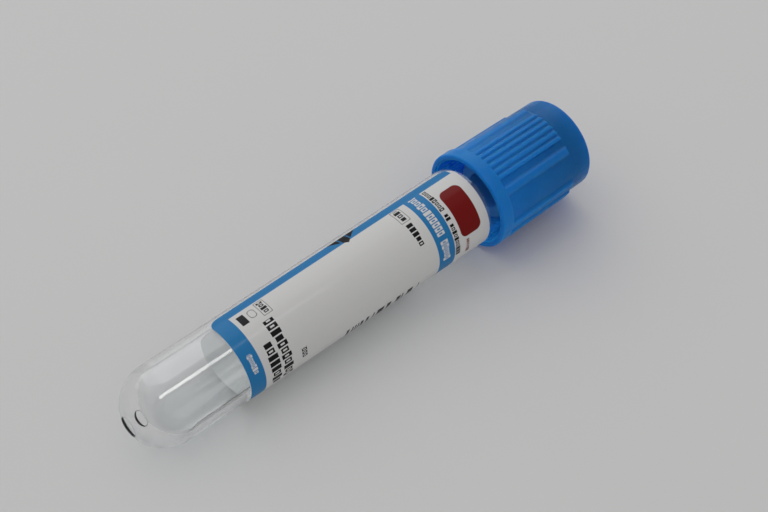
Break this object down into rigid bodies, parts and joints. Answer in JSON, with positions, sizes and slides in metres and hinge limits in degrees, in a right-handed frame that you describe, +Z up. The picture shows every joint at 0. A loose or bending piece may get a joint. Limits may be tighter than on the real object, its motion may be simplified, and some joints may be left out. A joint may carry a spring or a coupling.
{
  "type": "blood collection tube",
  "caption": "Clear round-bottomed tube with a wrap label and a little liquid additive inside, closed by a ribbed plastic cap with a rubber stopper.",
  "frame": {"origin": "centre of the bounding box, on the surface that the tube lies on", "axes": "+Z up; +X along the lying tube, from its round bottom to its cap"},
  "size_m": [0.0842, 0.0162, 0.0167],
  "materials": {
    "clear_plastic": "gloss",
    "blue_plastic": "satin",
    "stopper_rubber": "matt",
    "label_film": "gloss",
    "additive": "gloss"
  },
  "bodies": {
    "vial": {"tube": "clear_plastic", "label": "label_film", "citrate_solution": "additive"},
    "closure": {"cap": "blue_plastic", "stopper": "stopper_rubber"}
  },
  "joints": [
    {"name": "closure_pull", "type": "slide", "parent": "vial", "child": "closure", "axis": [0.9994, 0, 0.0333], "range_m": [0, 0.02]}
  ]
}
